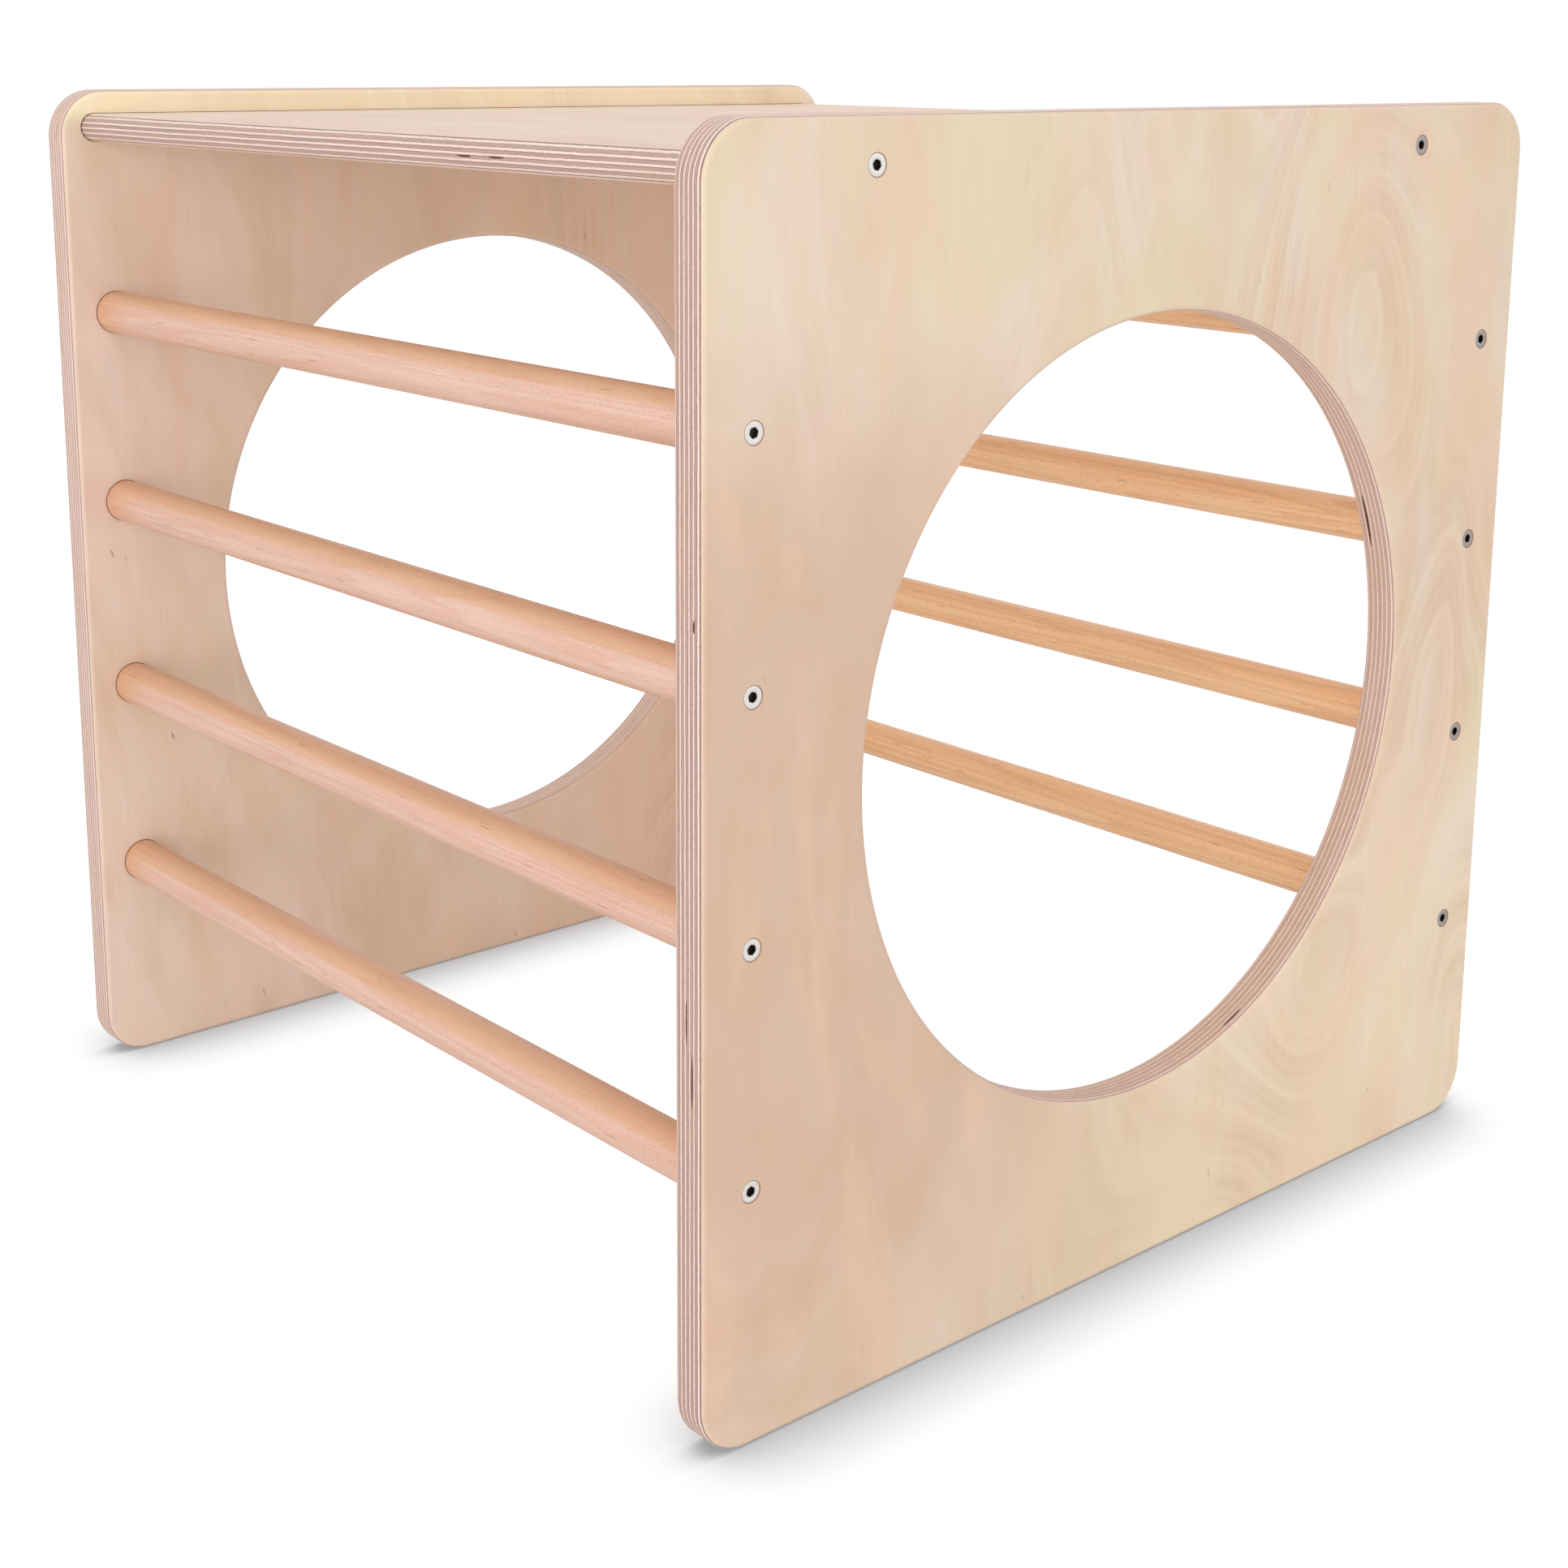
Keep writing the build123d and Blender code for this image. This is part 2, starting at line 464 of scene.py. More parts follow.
def lathe_rows(nodes, given):
    """Radius, depth and hexagon share of each row of points from a screw's socket to its tip."""

    def less(first, second):
        return nodes.maths("SUBTRACT", first, second)

    def more(first, second):
        return nodes.maths("ADD", first, second)

    head, ease, neck = given["Head Radius"], given["Head Ease"], given["Neck Radius"]
    land_end = more(given["Head Land"], ease)
    tip_start = less(given["Length"], given["Tip Length"])
    return [
        (0.0, more(given["Hex Depth"], ease), 0.0),
        (given["Hex Radius"], given["Hex Depth"], 1.0),
        (given["Hex Radius"], ease, 1.0),
        (more(given["Hex Radius"], ease), 0.0, 0.0),
        (less(head, ease), 0.0, 0.0),
        (less(head, nodes.maths("MULTIPLY", ease, 0.3)), nodes.maths("MULTIPLY", ease, 0.3), 0.0),
        (head, ease, 0.0),
        (head, land_end, 0.0),
        (neck, more(land_end, less(head, neck)), 0.0),
        (neck, given["Neck Length"], 0.0),
        (given["Root Radius"], more(given["Neck Length"], ease), 0.0),
        (given["Root Radius"], tip_start, 0.0),
        (ease, given["Length"], 0.0),
        (0.0, given["Length"], 0.0),
    ]


def screw_tree():
    """Geometry Nodes that turn points on the panels into connector screws."""
    tree = bpy.data.node_groups.new("connector_screws", "GeometryNodeTree")
    tree.interface.new_socket("Geometry", in_out="INPUT", socket_type="NodeSocketGeometry")
    for name in ("Head Radius", "Head Ease", "Head Land", "Hex Radius", "Hex Depth", "Neck Radius", "Neck Length",
                 "Root Radius", "Crest Radius", "Thread Pitch", "Tip Length", "Length"):
        tree.interface.new_socket(name, in_out="INPUT", socket_type="NodeSocketFloat")
    tree.interface.new_socket("Steps", in_out="INPUT", socket_type="NodeSocketInt")
    tree.interface.new_socket("Turn Seed", in_out="INPUT", socket_type="NodeSocketInt")
    tree.interface.new_socket("Finish", in_out="INPUT", socket_type="NodeSocketMaterial")
    tree.interface.new_socket("Geometry", in_out="OUTPUT", socket_type="NodeSocketGeometry")
    nodes = Nodes(tree)
    given = nodes.add("NodeGroupInput").outputs
    result = nodes.add("NodeGroupOutput")

    # A grid whose columns go round the screw and whose rows go from the socket to the tip
    rows = lathe_rows(nodes, given)
    columns = nodes.maths("ADD", given["Steps"], 1.0)
    grid = nodes.add("GeometryNodeMeshGrid", {"Vertices X": columns, "Vertices Y": len(rows)}).outputs[0]
    index = nodes.add("GeometryNodeInputIndex").outputs[0]
    row = nodes.maths("MODULO", index, float(len(rows)))
    column = nodes.maths("FLOOR", nodes.maths("DIVIDE", nodes.maths("ADD", index, 0.5), float(len(rows))))
    angle = nodes.maths("DIVIDE", nodes.maths("MULTIPLY", column, 2 * pi), given["Steps"])

    picked = []
    for part in range(3):
        switch = nodes.add("GeometryNodeIndexSwitch", data_type="FLOAT")
        for _ in range(len(rows) - 2):
            switch.index_switch_items.new()
        nodes.tree.links.new(row, switch.inputs[0])
        for number, values in enumerate(rows):
            if isinstance(values[part], bpy.types.NodeSocket):
                nodes.tree.links.new(values[part], switch.inputs[number + 1])
            else:
                switch.inputs[number + 1].default_value = values[part]
        picked.append(switch.outputs[0])
    radius, depth, hexagon = picked

    # A hexagon's side is further out towards its corners
    in_side = nodes.maths("WRAP", angle, pi / 6, -pi / 6)
    flat_side = nodes.maths("DIVIDE", cos(pi / 6), nodes.maths("COSINE", in_side))
    shape = nodes.maths("MULTIPLY_ADD", hexagon, nodes.maths("SUBTRACT", flat_side, 1.0), 1.0)
    radius = nodes.maths("MULTIPLY", radius, shape)
    place = nodes.join(
        nodes.maths("MULTIPLY", radius, nodes.maths("COSINE", angle)),
        nodes.maths("MULTIPLY", radius, nodes.maths("SINE", angle)),
        nodes.maths("MULTIPLY", depth, -1.0),
    )
    socket = nodes.maths("LESS_THAN", row, 2.5)
    marked = nodes.add("GeometryNodeStoreNamedAttribute", {"Geometry": grid, "Name": "socket", "Value": socket})
    turned = nodes.add("GeometryNodeSetPosition", {"Geometry": marked.outputs[0], "Position": place})
    closed = nodes.add("GeometryNodeMergeByDistance", {"Geometry": turned.outputs[0], "Distance": 1e-6})
    core = nodes.add("GeometryNodeFlipFaces", {0: closed.outputs[0]})

    # The thread, a four-sided bar wound round the shank
    thread_start = nodes.maths("MULTIPLY_ADD", given["Thread Pitch"], 0.5, given["Neck Length"])
    thread_end = nodes.maths("SUBTRACT", given["Length"], given["Tip Length"])
    thread_length = nodes.maths("SUBTRACT", thread_end, thread_start)
    spiral = nodes.add("GeometryNodeCurveSpiral", {
        "Resolution": 20,
        "Rotations": nodes.maths("DIVIDE", thread_length, given["Thread Pitch"]),
        "Start Radius": given["Root Radius"],
        "End Radius": given["Root Radius"],
        "Height": thread_length,
    })
    ridge = nodes.maths("SUBTRACT", given["Crest Radius"], given["Root Radius"])
    bar = nodes.add("GeometryNodeCurvePrimitiveCircle", {"Resolution": 4, "Radius": ridge})
    thread = nodes.add(
        "GeometryNodeCurveToMesh", {"Curve": spiral.outputs[0], "Profile Curve": bar.outputs[0], "Fill Caps": True}
    )
    lowered = nodes.join(0.0, 0.0, nodes.maths("MULTIPLY", thread_end, -1.0))
    thread = nodes.add("GeometryNodeTransform", {"Geometry": thread.outputs[0], "Translation": lowered})

    both = nodes.add("GeometryNodeJoinGeometry", {0: core.outputs[0]})
    nodes.tree.links.new(thread.outputs[0], both.inputs[0])
    corner = nodes.maths("GREATER_THAN", nodes.add("GeometryNodeInputMeshEdgeAngle").outputs[0], radians(32))
    edged = nodes.add(
        "GeometryNodeStoreNamedAttribute",
        {"Geometry": both.outputs[0], "Name": "sharp_edge", "Value": corner}, data_type="BOOLEAN", domain="EDGE"
    )
    screw = nodes.add("GeometryNodeSetShadeSmooth", {"Geometry": edged.outputs[0]})

    # One at each point, facing out from its panel and stopped at a turn of its own
    side = nodes.maths("SIGN", nodes.split(nodes.add("GeometryNodeInputPosition").outputs[0])[0])
    outward = nodes.add("FunctionNodeAlignRotationToVector", {"Vector": nodes.join(side, 0.0, 0.0)}, axis="Z")
    chance = nodes.add("FunctionNodeRandomValue", {2: 0.0, 3: pi / 3, "Seed": given["Turn Seed"]}).outputs[1]
    turn = nodes.add("FunctionNodeEulerToRotation", {0: nodes.join(0.0, 0.0, chance)})
    facing = nodes.add(
        "FunctionNodeRotateRotation", {0: outward.outputs[0], 1: turn.outputs[0]}, rotation_space="LOCAL"
    )
    placed = nodes.add("GeometryNodeInstanceOnPoints", {
        "Points": given["Geometry"], "Instance": screw.outputs[0], "Rotation": facing.outputs[0],
    })
    real = nodes.add("GeometryNodeRealizeInstances", {0: placed.outputs[0]})
    finished = nodes.add("GeometryNodeSetMaterial", {"Geometry": real.outputs[0], "Material": given["Finish"]})
    nodes.tree.links.new(finished.outputs[0], result.inputs[0])
    return tree


def make_screws(finish):
    """All twenty connector screws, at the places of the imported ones."""
    names, places = [], []
    for side in ("left", "right"):
        for row in ("front", "back"):
            for held in [f"{row}_rung_{number}" for number in range(1, 5)] + [f"board_{row}"]:
                name = f"{side}_screw_{held}"
                low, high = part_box(name)
                head = high.x if side == "right" else low.x
                names.append(name)
                places.append((head, (low.y + high.y) / 2, (low.z + high.z) / 2))
    mesh = bpy.data.meshes.new("screw_places")
    mesh.from_pydata(places, [], [])
    mesh.materials.append(finish)
    piece = add_piece("connector_screws", mesh)
    modifier = piece.modifiers.new("connector_screws", "NODES")
    modifier.node_group = screw_tree()
    sizes = {
        "Head Radius": SCREW_HEAD_RADIUS, "Head Ease": SCREW_HEAD_EASE, "Head Land": SCREW_HEAD_LAND,
        "Hex Radius": SCREW_HEX_RADIUS, "Hex Depth": SCREW_HEX_DEPTH, "Neck Radius": SCREW_NECK_RADIUS,
        "Neck Length": SCREW_NECK_LENGTH, "Root Radius": SCREW_ROOT_RADIUS, "Crest Radius": SCREW_CREST_RADIUS,
        "Thread Pitch": SCREW_THREAD_PITCH, "Tip Length": SCREW_TIP_LENGTH, "Length": SCREW_LENGTH,
        "Steps": SCREW_STEPS, "Turn Seed": SCREW_TURN_SEED, "Finish": finish,
    }
    for item in modifier.node_group.interface.items_tree:
        if item.in_out == "INPUT" and item.name in sizes:
            modifier[item.identifier] = sizes[item.name]
    apply_modifiers(piece)
    piece.data.materials.clear()
    piece.data.materials.append(finish)
    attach(piece, "root")
    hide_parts(*names)


def shader_group(name, inputs, outputs):
    """A node group with those sockets, each given as its name and kind."""
    tree = bpy.data.node_groups.new(name, "ShaderNodeTree")
    for socket, kind in inputs:
        tree.interface.new_socket(socket, in_out="INPUT", socket_type=kind)
    for socket, kind in outputs:
        tree.interface.new_socket(socket, in_out="OUTPUT", socket_type=kind)
    nodes = Nodes(tree)
    return nodes, nodes.add("NodeGroupInput").outputs, nodes.add("NodeGroupOutput")


def use_group(nodes, group, inputs):
    return nodes.add("ShaderNodeGroup", inputs, node_tree=group).outputs


def veneer_group():
    """Rotary-cut birch veneer.

    Place is metres across the grain, along it, and a sheet number. Pink runs from -1, paler with painted light,
    through 0, cream, and 1, pinkish tan, to 2, darker, which on the panels is painted shade, and Rosy makes the
    tan paler and pinker.
    Lined is how clearly the growth rings show, and Curly how clearly the rippled figure does.
    """
    nodes, given, result = shader_group(
        "birch_veneer",
        [("Place", "NodeSocketVector"), ("Pink", "NodeSocketFloat"), ("Rosy", "NodeSocketFloat"),
         ("Lined", "NodeSocketFloat"), ("Curly", "NodeSocketFloat")],
        [("Color", "NodeSocketColor"), ("Height", "NodeSocketFloat")],
    )
    place = given["Place"]
    across, along, sheet = nodes.split(place)

    # The fibres drag every patch of colour along the grain, so that its ends are ragged
    uneven = nodes.noise(place, (95.0, 3.0, 2.0), detail=2.0)
    uneven = nodes.join(nodes.maths("MULTIPLY_ADD", uneven, 0.014, across), along, sheet)
    fibre = nodes.noise(uneven, (420.0, 9.0, 3.0), detail=3.0, roughness=0.6)
    dragged = nodes.join(across, nodes.maths("MULTIPLY_ADD", fibre, 0.024, along), sheet)

    # The growth rings are contour lines of a smooth field with an eye in it
    from_eye = nodes.vector("SUBTRACT", nodes.join(across, along, 0.0), VENEER_EYE)
    from_eye = nodes.vector("DIVIDE", from_eye, VENEER_EYE_REACH)
    from_eye = nodes.add("ShaderNodeVectorMath", {0: from_eye}, operation="LENGTH").outputs[1]
    field = nodes.noise(place, (4.0, 1.7, 1.0), detail=3.0, roughness=0.3, distortion=0.7)
    field = nodes.maths("ADD", field, nodes.step(from_eye, 1.0, 0.0, 0.0, 0.3))
    field = nodes.maths("MULTIPLY_ADD", across, 0.5, field)

    # Cream that is yellower in clouds, peach flames along the rings, and pinkish tan
    cloud = nodes.noise(dragged, (16.0, 8.0, 1.0), detail=4.0, roughness=0.55, distortion=0.6)
    tone = nodes.mix(nodes.step(cloud, 0.36, 0.64), VENEER_PALE, VENEER_YELLOW)
    patch = nodes.noise(dragged, (8.0, 3.6, 9.0), detail=3.0, roughness=0.55, distortion=0.4)
    pink = nodes.maths("MULTIPLY_ADD", nodes.maths("SUBTRACT", patch, 0.5), 0.9, given["Pink"], clamp=True)
    rosy = nodes.noise(dragged, (26.0, 14.0, 5.0), detail=2.0)
    rosy = nodes.maths("MULTIPLY_ADD", nodes.maths("SUBTRACT", rosy, 0.5), 1.1, given["Rosy"])

    # Rippled figure that lies aslant
    slant = nodes.add("ShaderNodeVectorRotate", {0: place, 3: radians(-19)}, rotation_type="Z_AXIS").outputs[0]
    ripple = nodes.noise(slant, (42.0, 7.0, 5.0), detail=3.0, distortion=0.4)
    ripple = nodes.maths("MULTIPLY", nodes.maths("SUBTRACT", ripple, 0.5), given["Curly"])
    rosy = nodes.maths("MULTIPLY_ADD", ripple, 3.4, rosy, clamp=True)
    tone = nodes.mix(pink, tone, nodes.mix(rosy, VENEER_TAN, VENEER_ROSE))
    # Where Pink is below 0 the veneer is made paler: painted light
    painted_light = nodes.maths("MULTIPLY", given["Pink"], -1.0, clamp=True)
    # Where Pink is above 1 the veneer darkens: painted shade on the right panel's lower front, and a slightly
    # darker tone on most of the board
    deep = nodes.maths("SUBTRACT", given["Pink"], 1.0, clamp=True)
    tone = nodes.mix(nodes.maths("MULTIPLY", deep, 0.7), tone, VENEER_SHADE)
    band = nodes.maths("SINE", nodes.maths("MULTIPLY", field, 60.0))
    flame = nodes.noise(dragged, (26.0, 7.0, 2.0), detail=4.0, roughness=0.6, distortion=0.5)
    flame = nodes.maths("MULTIPLY_ADD", nodes.maths("MULTIPLY", band, given["Lined"]), 0.07, flame)
    flame = nodes.maths("ADD", flame, nodes.step(across, -0.1, 0.2, -0.03, 0.11))
    tone = nodes.mix(nodes.step(flame, 0.46, 0.7, 0.0, 0.62), tone, VENEER_PEACH)
    # Painted light where Pink is below 0
    tone = nodes.mix(painted_light, tone, VENEER_PAINTED_LIGHT)

    zone = nodes.step(nodes.noise(dragged, (11.0, 6.0, 6.0), detail=3.0), 0.36, 0.64)
    for rings, strength in ((21.0, 0.22), (67.0, 0.15)):
        ring = nodes.maths("FRACT", nodes.maths("MULTIPLY", field, rings))
        ring = nodes.maths("MULTIPLY", nodes.step(ring, 0.0, 0.75), nodes.step(ring, 1.0, 0.85))
        ring = nodes.maths("MULTIPLY", ring, nodes.maths("MULTIPLY", zone, given["Lined"]))
        tone = nodes.mix(nodes.maths("MULTIPLY", ring, strength), tone, VENEER_RING)

    # Fine fibres and hair lines
    hair = nodes.noise(uneven, (1500.0, 22.0, 4.0), detail=2.0, roughness=0.6)
    shade = nodes.maths("ADD", nodes.step(fibre, 0.62, 0.3, 0.0, 0.04), nodes.step(hair, 0.6, 0.3, 0.0, 0.09))
    tone = nodes.mix(shade, tone, VENEER_SHADE)

    # Short brown flecks and a few long thin lines, one in some of the scattered places
    near, pick = nodes.cells(slant, (150.0, 34.0, 1.0))
    chosen = nodes.step(nodes.split(pick)[0], 0.935, 0.945)
    fleck = nodes.maths("MULTIPLY", nodes.step(near, 0.14, 0.05), chosen)
    fleck = nodes.maths("MULTIPLY", fleck, nodes.maths("MULTIPLY_ADD", given["Curly"], 0.6, 0.25))
    tone = nodes.mix(fleck, tone, VENEER_FLECK)
    near, pick = nodes.cells(place, (48.0, 9.0, 1.0))
    chosen = nodes.step(nodes.split(pick)[0], 0.93, 0.95)
    line = nodes.maths("MULTIPLY", nodes.step(near, 0.03, 0.01), chosen)
    tone = nodes.mix(nodes.maths("MULTIPLY", line, 0.35), tone, VENEER_FLECK)

    height = nodes.maths("SUBTRACT", hair, nodes.maths("ADD", fleck, line))
    nodes.tree.links.new(tone, result.inputs["Color"])
    nodes.tree.links.new(height, result.inputs["Height"])
    return nodes.tree


def ply_group():
    """The plies that a cut edge shows.

    Plies counts them from one face. Layers is the same in metres, and Place is where on the
    edge. End Grain is 1 where the darker plies show it and 0 where they show less of it.
    Ragged is how far the glue lines wander, and Light Share the light plies' half width, in
    pairs of plies.
    """
    nodes, given, result = shader_group(
        "plywood_edge",
        [("Plies", "NodeSocketFloat"), ("Layers", "NodeSocketFloat"), ("Place", "NodeSocketVector"),
         ("End Grain", "NodeSocketFloat"), ("Ragged", "NodeSocketFloat"), ("Light Share", "NodeSocketFloat")],
        [("Color", "NodeSocketColor"), ("Height", "NodeSocketFloat")],
    )
    place = given["Place"]

    # The glue lines wander a little
    wander = nodes.noise(place, (16.0, 16.0, 16.0), detail=3.0, roughness=0.55)
    ragged = nodes.noise(place, (330.0, 330.0, 330.0), detail=3.0, roughness=0.6)
    shift = nodes.maths("ADD", nodes.maths("SUBTRACT", wander, 0.5), nodes.maths("SUBTRACT", ragged, 0.5))
    plies = nodes.maths("MULTIPLY_ADD", shift, given["Ragged"], given["Plies"])
    pair = nodes.maths("FRACT", nodes.maths("MULTIPLY", plies, 0.5))
    number = nodes.maths("FLOOR", nodes.maths("MULTIPLY", nodes.maths("ADD", plies, 0.5), 0.5))

    # A light ply in the middle of each pair, between darker ones
    from_light = nodes.maths("ABSOLUTE", nodes.maths("SUBTRACT", pair, 0.75))
    from_interface = nodes.maths("SUBTRACT", from_light, given["Light Share"])
    light = nodes.step(from_interface, 0.035, -0.035)
    ply_place = nodes.vector("ADD", place, nodes.join(nodes.maths("MULTIPLY", number, 3.1), 0.0, 0.0))
    along = nodes.noise(ply_place, (10.0, 10.0, 10.0), detail=4.0, roughness=0.6)

    # Streaks that run with the layers, and open pores
    split = nodes.split(place)
    layered = nodes.join(nodes.maths("MULTIPLY", given["Layers"], 40.0), split[1], split[2])
    streak = nodes.noise(layered, (90.0, 90.0, 90.0), detail=3.0, roughness=0.7)
    pores = nodes.noise(place, (1300.0, 1300.0, 1300.0), detail=2.0)

    dark_tone = nodes.mix(given["End Grain"], PLY_DARK_SIDE, PLY_DARK_END)
    dark_tone = nodes.mix(nodes.step(along, 0.35, 0.65, 0.0, 0.6), dark_tone, PLY_DARK_WARM)
    streaked = nodes.maths("MULTIPLY_ADD", given["End Grain"], 0.35, 0.2)
    streaked = nodes.maths("MULTIPLY", nodes.step(streak, 0.35, 0.75), streaked)
    dark_tone = nodes.mix(streaked, dark_tone, PLY_STREAK)
    light_tone = nodes.mix(nodes.step(along, 0.35, 0.75), PLY_LIGHT, PLY_LIGHT_WARM)
    tone = nodes.mix(light, dark_tone, light_tone)
    tone = nodes.mix(nodes.step(pores, 0.48, 0.78, 0.0, 0.35), tone, PLY_STREAK)

    # Thin dark glue lines on both sides of a light ply
    from_glue = nodes.maths("ABSOLUTE", nodes.maths("SUBTRACT", from_interface, 0.045))
    glue = nodes.step(from_glue, 0.07, 0.018)
    glue = nodes.maths("MULTIPLY", glue, nodes.step(streak, 0.3, 0.65, 0.3, 0.85))
    glue = nodes.maths("MULTIPLY", glue, nodes.maths("MULTIPLY_ADD", given["End Grain"], 0.6, 0.4))
    tone = nodes.mix(glue, tone, PLY_GLUE)

    height = nodes.maths("SUBTRACT", light, pores)
    nodes.tree.links.new(tone, result.inputs["Color"])
    nodes.tree.links.new(height, result.inputs["Height"])
    return nodes.tree


def beech_group():
    """Steamed beech, turned to a rod.

    Place is metres, with the grain along its first axis. Rosy runs from 0, orange tan, to 1,
    paler and pinker, and Tan from 0 to 1 towards a browner tan, which is painted shade and painted warm bounce
    light.
    """
    nodes, given, result = shader_group(
        "beech",
        [("Place", "NodeSocketVector"), ("Rosy", "NodeSocketFloat"), ("Tan", "NodeSocketFloat")],
        [("Color", "NodeSocketColor"), ("Height", "NodeSocketFloat")],
    )
    place = given["Place"]

    cloud = nodes.noise(place, (7.0, 80.0, 80.0), detail=3.0, distortion=0.4)
    grain = nodes.noise(place, (14.0, 620.0, 620.0), detail=3.0, roughness=0.65, distortion=0.3)
    shade = nodes.maths("ADD", nodes.maths("MULTIPLY", cloud, 0.55), nodes.maths("MULTIPLY", grain, 0.6))
    shade = nodes.step(shade, 0.38, 0.78)
    dark = nodes.mix(given["Rosy"], BEECH_DARK, BEECH_ROSY_DARK)
    light = nodes.mix(given["Rosy"], BEECH_LIGHT, BEECH_ROSY_LIGHT)
    tone = nodes.mix(shade, dark, light)
    # Towards BEECH_TAN where the rung asks for it: painted shade and painted warm bounce light, broken up by the
    # grain
    ragged = nodes.maths("MULTIPLY_ADD", nodes.maths("SUBTRACT", grain, 0.5), 0.5, given["Tan"], clamp=True)
    tone = nodes.mix(nodes.maths("MULTIPLY", ragged, 0.85), tone, BEECH_TAN)

    # Year rings, cut open as thin arches and lines
    rings = nodes.noise(place, (2.2, 62.0, 62.0), detail=1.0, roughness=0.4, distortion=0.4)
    rings = nodes.maths("FRACT", nodes.maths("MULTIPLY", rings, 9.0))
    late_wood = nodes.maths("MULTIPLY", nodes.step(rings, 0.35, 0.9), nodes.step(rings, 1.0, 0.93))
    tone = nodes.mix(nodes.maths("MULTIPLY", late_wood, 0.3), tone, BEECH_LATE)

    # Short rays, a few of them dark, and the finer pores between them
    near, pick = nodes.cells(place, (330.0, 1700.0, 1700.0))
    chance = nodes.split(pick)[0]
    ray = nodes.maths("MULTIPLY", nodes.step(near, 0.45, 0.2), nodes.step(chance, 0.6, 0.8, 0.0, 0.3))
    near, pick = nodes.cells(place, (50.0, 620.0, 620.0))
    chosen = nodes.step(nodes.split(pick)[1], 0.93, 0.95, 0.0, 0.5)
    dash = nodes.maths("MULTIPLY", nodes.step(near, 0.32, 0.12), chosen)
    tone = nodes.mix(nodes.maths("MAXIMUM", ray, dash), tone, BEECH_RAY)
    pores = nodes.noise(place, (230.0, 3000.0, 3000.0), detail=1.0)
    tone = nodes.mix(nodes.step(pores, 0.5, 0.8, 0.0, 0.2), tone, BEECH_LATE)

    height = nodes.maths("SUBTRACT", pores, ray)
    nodes.tree.links.new(tone, result.inputs["Color"])
    nodes.tree.links.new(height, result.inputs["Height"])
    return nodes.tree


def new_material(name):
    """A material with an empty tree, its Principled shader and the object's own coordinates."""
    material = bpy.data.materials.new(name)
    material.use_nodes = True
    material.node_tree.nodes.clear()
    nodes = Nodes(material.node_tree)
    shader = nodes.add("ShaderNodeBsdfPrincipled")
    nodes.add("ShaderNodeOutputMaterial", {"Surface": shader.outputs[0]})
    return material, nodes, shader, nodes.add("ShaderNodeTexCoord").outputs


def finish_wood(nodes, shader, tone, height, roughness, bump_strength):
    """Lacquered wood: its colour, its slight relief, and a gloss that the relief breaks up."""
    bump = nodes.add("ShaderNodeBump", {"Strength": bump_strength, "Distance": 0.0002, "Height": height})
    gloss = nodes.step(height, -1.0, 1.0, roughness + 0.08, roughness - 0.04)
    nodes.tree.links.new(tone, shader.inputs["Base Color"])
    nodes.tree.links.new(gloss, shader.inputs["Roughness"])
    nodes.tree.links.new(bump.outputs[0], shader.inputs["Normal"])
    shader.inputs["IOR"].default_value = 1.45


